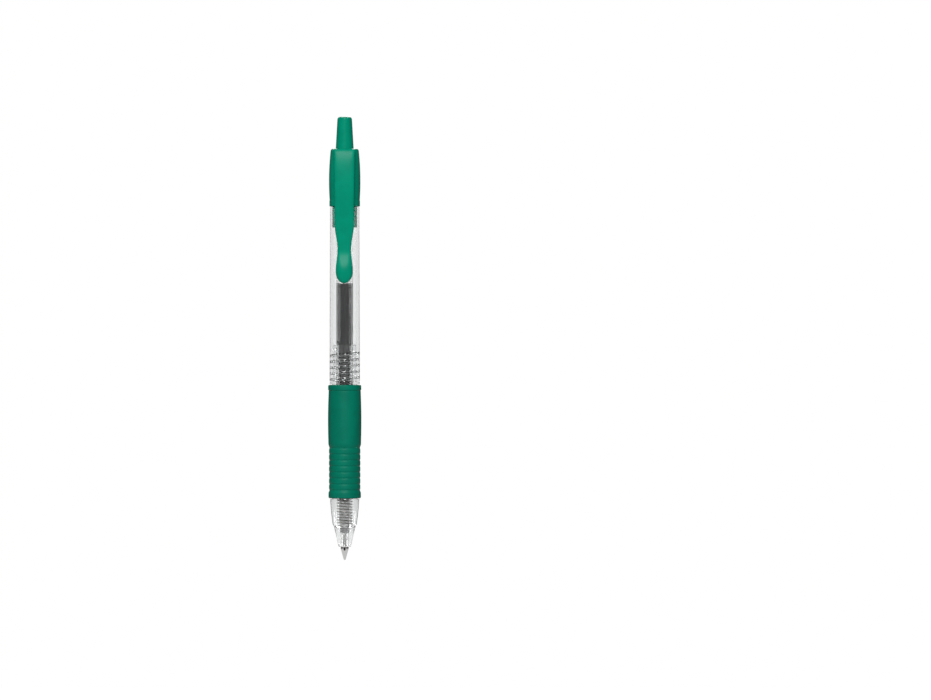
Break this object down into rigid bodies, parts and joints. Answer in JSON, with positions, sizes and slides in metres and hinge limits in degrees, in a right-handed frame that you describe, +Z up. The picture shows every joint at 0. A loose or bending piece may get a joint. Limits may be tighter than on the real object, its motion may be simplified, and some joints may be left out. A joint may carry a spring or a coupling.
{
  "type": "retractable gel pen",
  "caption": "Push-button gel pen: clear barrel, ribbed rubber grip, pocket clip, and a sprung refill in a screw-off front section.",
  "frame": {"origin": "where the clip's foot pinches a pocket against the barrel, half way across the gap between them", "axes": "+Z up the pen's axis from the tip to the button, -Y from the pen's axis towards the clip, +X to the right as the clip is looked at"},
  "size_m": [0.0106, 0.0127, 0.1409],
  "materials": {
    "clear_plastic": "clear, polished",
    "green_plastic": "glossy moulded plastic",
    "green_rubber": "satin",
    "milky_plastic": "translucent",
    "ink": "wet, dark grey",
    "grease": "clear gel",
    "grey_plastic": "satin",
    "steel": "bright turned steel"
  },
  "bodies": {
    "barrel": {"barrel": "clear_plastic", "clip_cap": "green_plastic"},
    "clip": {"pocket_clip": "green_plastic"},
    "knock": {"knock_button": "green_plastic"},
    "rotor": {"cam_rotor": "milky_plastic"},
    "grip": {"rubber_grip": "green_rubber"},
    "front_section": {"front_section": "clear_plastic", "return_spring": "steel"},
    "refill": {"ink_tube": "milky_plastic", "ink_column": "ink", "ink_follower": "grease", "tail_plug": "milky_plastic", "tip_holder": "grey_plastic", "writing_tip": "steel"},
    "ball": {"tip_ball": "steel"}
  },
  "joints": [
    {"name": "clip_flex", "type": "hinge", "parent": "barrel", "child": "clip", "pos_m": [0, 0.00061, 0.0389], "axis": [-1, 0, 0], "range_deg": [0, 5], "stiffness_Nm_per_rad": 2},
    {"name": "knock_press", "type": "slide", "parent": "barrel", "child": "knock", "axis": [0, 0, 1], "range_m": [-0.0015, 0.0055], "stiffness_N_per_m": 250},
    {"name": "rotor_index", "type": "hinge", "parent": "knock", "child": "rotor", "pos_m": [0, 0.00486, 0.027], "axis": [0, 0, 1], "continuous": true},
    {"name": "front_draw", "type": "slide", "parent": "barrel", "child": "grip", "axis": [0, 0, -1], "range_m": [0, 0.00855]},
    {"name": "front_turn", "type": "hinge", "parent": "grip", "child": "front_section", "pos_m": [0, 0.00486, -0.03485], "axis": [0, 0, -1], "range_deg": [0, 1620.01]},
    {"name": "refill_travel", "type": "slide", "parent": "front_section", "child": "refill", "axis": [0, 0, 1], "range_m": [-0.0015, 0.0055], "deforming": ["return_spring"]},
    {"name": "ball_roll", "type": "hinge", "parent": "refill", "child": "ball", "pos_m": [0, 0.00486, -0.09135], "axis": [1, 0, 0], "continuous": true}
  ],
  "couplings": [
    {"joint": "front_turn", "follows": "front_draw", "rad_per_m": 3306.9},
    {"joint": "refill_travel", "follows": "knock_press", "ratio": 1}
  ]
}
